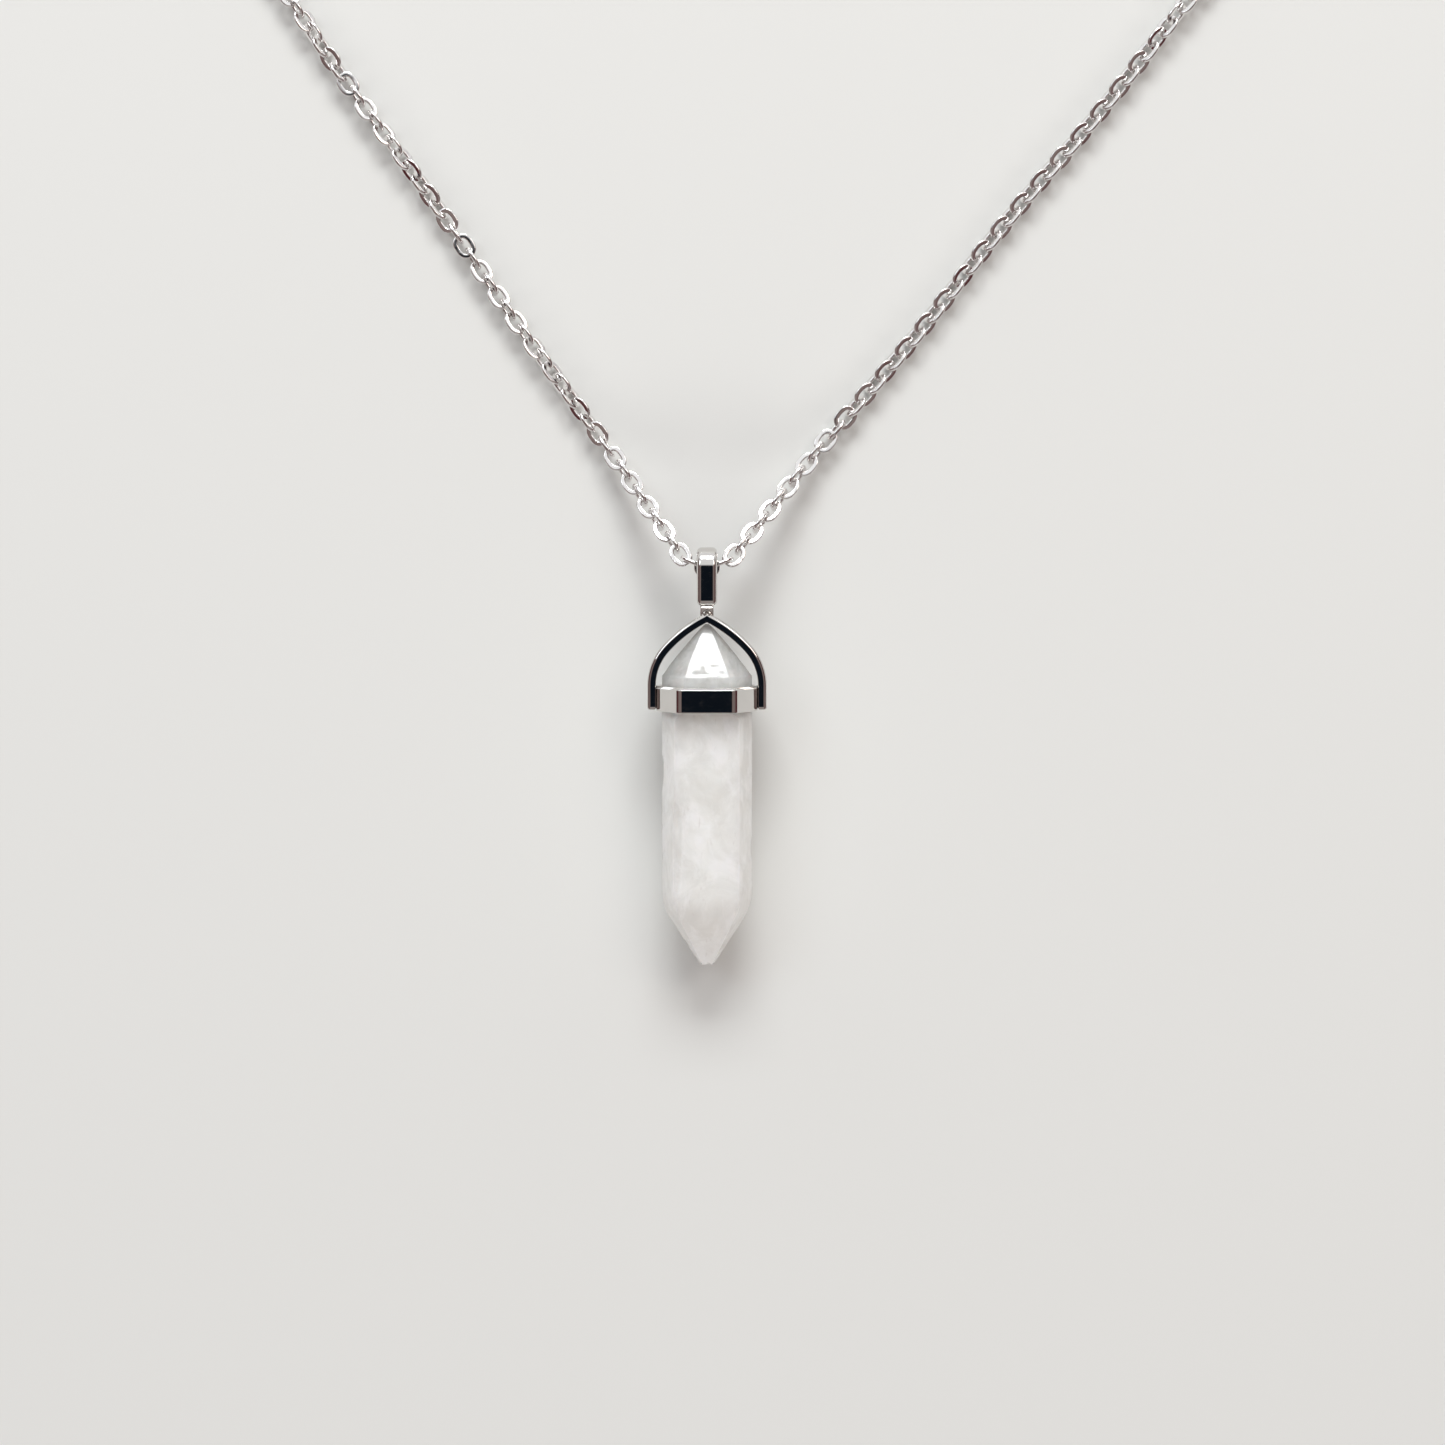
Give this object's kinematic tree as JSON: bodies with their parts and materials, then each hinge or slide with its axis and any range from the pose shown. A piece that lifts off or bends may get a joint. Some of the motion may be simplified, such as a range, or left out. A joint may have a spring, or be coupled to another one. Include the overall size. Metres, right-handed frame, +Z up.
{
  "type": "pendant necklace",
  "caption": "Necklace laid flat: a six-sided pale crystal point in a metal cap with a pointed arch and strip bail, on a fine oval cable chain with a sprung clasp.",
  "frame": {"origin": "middle of the laid-out necklace, on the table it lies on", "axes": "+Z up from the table, +Y from the pendant's tip towards the clasp, +X to the right seen from above"},
  "size_m": [0.1278, 0.21, 0.01],
  "materials": {
    "chain_metal": "polished silver-coloured plate",
    "cap_metal": "polished silver-coloured plate",
    "clasp_metal": "polished silver-coloured plate",
    "spring_metal": "drawn spring wire",
    "quartz": "polished milky quartz",
    "cement": "clear set adhesive"
  },
  "bodies": {
    "chain_centre": {"chain_bail_links": "chain_metal"},
    "pendant": {"crystal_point": "quartz", "cap_band": "cap_metal", "cap_cement": "cement", "cap_arch": "cap_metal", "bail_neck": "cap_metal", "bail_loop": "cap_metal"},
    "chain_right_swivel_1": {"chain_right_swivel_link_1": "chain_metal"},
    "chain_right_run_1": {"chain_right_run_1": "chain_metal"},
    "chain_right_swivel_2": {"chain_right_swivel_link_2": "chain_metal"},
    "chain_right_run_2": {"chain_right_run_2": "chain_metal"},
    "chain_right_swivel_3": {"chain_right_swivel_link_3": "chain_metal"},
    "chain_right_run_3": {"chain_right_run_3": "chain_metal"},
    "chain_right_swivel_4": {"chain_right_swivel_link_4": "chain_metal"},
    "chain_right_run_4": {"chain_right_run_4": "chain_metal"},
    "chain_right_swivel_5": {"chain_right_swivel_link_5": "chain_metal"},
    "chain_right_run_5": {"chain_right_run_5": "chain_metal"},
    "chain_left_swivel_1": {"chain_left_swivel_link_1": "chain_metal"},
    "chain_left_run_1": {"chain_left_run_1": "chain_metal"},
    "chain_left_swivel_2": {"chain_left_swivel_link_2": "chain_metal"},
    "chain_left_run_2": {"chain_left_run_2": "chain_metal"},
    "chain_left_swivel_3": {"chain_left_swivel_link_3": "chain_metal"},
    "chain_left_run_3": {"chain_left_run_3": "chain_metal"},
    "chain_left_swivel_4": {"chain_left_swivel_link_4": "chain_metal"},
    "chain_left_run_4": {"chain_left_run_4": "chain_metal"},
    "chain_left_swivel_5": {"chain_left_swivel_link_5": "chain_metal"},
    "chain_left_run_5": {"chain_left_run_5": "chain_metal"},
    "chain_left_swivel_6": {"chain_left_swivel_link_6": "chain_metal"},
    "chain_left_run_6": {"chain_left_run_6": "chain_metal"},
    "clasp_ring": {"clasp_jump_ring": "clasp_metal"},
    "clasp": {"clasp_body": "clasp_metal", "clasp_pivot_pin": "clasp_metal", "clasp_spring": "spring_metal"},
    "lever": {"clasp_lever": "clasp_metal"},
    "closing_ring": {"closing_ring": "clasp_metal"}
  },
  "joints": [
    {"name": "pendant_flip", "type": "hinge", "parent": "chain_centre", "child": "pendant", "pos_m": [-0.0037, -0.06657, 0.0054], "axis": [-1, 0, 0], "range_deg": [0, 150]},
    {"name": "right_1_swing", "type": "hinge", "parent": "chain_centre", "child": "chain_right_swivel_1", "pos_m": [-0.00137, -0.06574, 0.00516], "axis": [-0.1445, -0.0652, -0.9874], "range_deg": [0, 40]},
    {"name": "right_1_lift", "type": "hinge", "parent": "chain_right_swivel_1", "child": "chain_right_run_1", "pos_m": [-0.00047, -0.06464, 0.00465], "axis": [0.7727, -0.6347, 0], "range_deg": [0, 25]},
    {"name": "right_2_swing", "type": "hinge", "parent": "chain_right_run_1", "child": "chain_right_swivel_2", "pos_m": [0.0057, -0.05677, 0.00154], "axis": [-0.1257, -0.1597, -0.9791], "range_deg": [0, 40]},
    {"name": "right_2_lift", "type": "hinge", "parent": "chain_right_swivel_2", "child": "chain_right_run_2", "pos_m": [0.00663, -0.05562, 0.0013], "axis": [0.7811, -0.6244, 0], "range_deg": [0, 25]},
    {"name": "right_3_lean", "type": "hinge", "parent": "chain_right_run_2", "child": "chain_right_swivel_3", "pos_m": [0.02283, -0.03596, 0.00073], "axis": [0.5577, -0.4347, 0.7071], "range_deg": [0, 20]},
    {"name": "right_3_lean_back", "type": "hinge", "parent": "chain_right_swivel_3", "child": "chain_right_run_3", "pos_m": [0.02376, -0.03479, 0.00073], "axis": [0.5555, -0.4375, -0.7071], "range_deg": [0, 20]},
    {"name": "right_4_swing", "type": "hinge", "parent": "chain_right_run_3", "child": "chain_right_swivel_4", "pos_m": [0.04664, -0.007, 0.00095], "axis": [0, 0, -1], "range_deg": [0, 40]},
    {"name": "right_4_lift", "type": "hinge", "parent": "chain_right_swivel_4", "child": "chain_right_run_4", "pos_m": [0.04762, -0.00587, 0.00095], "axis": [0.7563, -0.6543, 0], "range_deg": [0, 25]},
    {"name": "right_5_swing", "type": "hinge", "parent": "chain_right_run_4", "child": "chain_right_swivel_5", "pos_m": [0.06175, 0.04893, 0.00095], "axis": [0, 0, -1], "range_deg": [0, 40]},
    {"name": "right_5_lift", "type": "hinge", "parent": "chain_right_swivel_5", "child": "chain_right_run_5", "pos_m": [0.06148, 0.05041, 0.00095], "axis": [0.9853, 0.1708, 0], "range_deg": [0, 25]},
    {"name": "left_1_swing", "type": "hinge", "parent": "chain_centre", "child": "chain_left_swivel_1", "pos_m": [-0.006, -0.06567, 0.00516], "axis": [-0.1446, 0.0628, 0.9875], "range_deg": [0, 40]},
    {"name": "left_1_lift", "type": "hinge", "parent": "chain_left_swivel_1", "child": "chain_left_run_1", "pos_m": [-0.00681, -0.06451, 0.00465], "axis": [0.8145, 0.58, 0.0149], "range_deg": [0, 25]},
    {"name": "left_2_swing", "type": "hinge", "parent": "chain_left_run_1", "child": "chain_left_swivel_2", "pos_m": [-0.01077, -0.05864, 0.0022], "axis": [-0.1931, 0.1926, 0.9621], "range_deg": [0, 40]},
    {"name": "left_2_lift", "type": "hinge", "parent": "chain_left_swivel_2", "child": "chain_left_run_2", "pos_m": [-0.01158, -0.05742, 0.00186], "axis": [0.8219, 0.5664, 0.0603], "range_deg": [0, 25]},
    {"name": "left_3_swing", "type": "hinge", "parent": "chain_left_run_2", "child": "chain_left_swivel_3", "pos_m": [-0.02379, -0.04043, 0.001], "axis": [0.0144, 0.0098, 0.9998], "range_deg": [0, 40]},
    {"name": "left_3_lift", "type": "hinge", "parent": "chain_left_swivel_3", "child": "chain_left_run_3", "pos_m": [-0.02463, -0.03919, 0.001], "axis": [0.8269, 0.5623, 0], "range_deg": [0, 25]},
    {"name": "left_4_swing", "type": "hinge", "parent": "chain_left_run_3", "child": "chain_left_swivel_4", "pos_m": [-0.03674, -0.02205, 0.001], "axis": [0.0299, 0.0182, 0.9994], "range_deg": [0, 40]},
    {"name": "left_4_lift", "type": "hinge", "parent": "chain_left_swivel_4", "child": "chain_left_run_4", "pos_m": [-0.03763, -0.02084, 0.001], "axis": [0.8071, 0.5904, 0], "range_deg": [0, 25]},
    {"name": "left_5_swing", "type": "hinge", "parent": "chain_left_run_4", "child": "chain_left_swivel_5", "pos_m": [-0.05137, -0.00118, 0.001], "axis": [0, 0, 1], "range_deg": [0, 40]},
    {"name": "left_5_lift", "type": "hinge", "parent": "chain_left_swivel_5", "child": "chain_left_run_5", "pos_m": [-0.05223, 0.00005, 0.001], "axis": [0.8146, 0.58, 0], "range_deg": [0, 25]},
    {"name": "left_6_swing", "type": "hinge", "parent": "chain_left_run_5", "child": "chain_left_swivel_6", "pos_m": [-0.05977, 0.05621, 0.001], "axis": [0, 0, 1], "range_deg": [0, 40]},
    {"name": "left_6_lift", "type": "hinge", "parent": "chain_left_swivel_6", "child": "chain_left_run_6", "pos_m": [-0.05932, 0.05764, 0.001], "axis": [0.9552, -0.2958, 0], "range_deg": [0, 25]},
    {"name": "jump_ring_lift", "type": "hinge", "parent": "chain_right_run_5", "child": "clasp_ring", "pos_m": [0.00841, 0.10122, 0.00155], "axis": [0.1936, 0.9811, 0], "range_deg": [0, 30]},
    {"name": "clasp_swing", "type": "hinge", "parent": "clasp_ring", "child": "clasp", "pos_m": [0.0065, 0.1016, 0.00152], "axis": [0, 0, 1], "range_deg": [-60, 60]},
    {"name": "clasp_lever_open", "type": "hinge", "parent": "clasp", "child": "lever", "pos_m": [0.00332, 0.10126, 0.0012], "axis": [0, 0, -1], "range_deg": [0, 22], "stiffness_Nm_per_rad": 0.0002, "springref_deg": -11.46},
    {"name": "closing_ring_swing", "type": "hinge", "parent": "chain_left_run_6", "child": "closing_ring", "pos_m": [-0.01386, 0.09984, 0.001], "axis": [0, 0, 1], "range_deg": [-40, 40]}
  ]
}
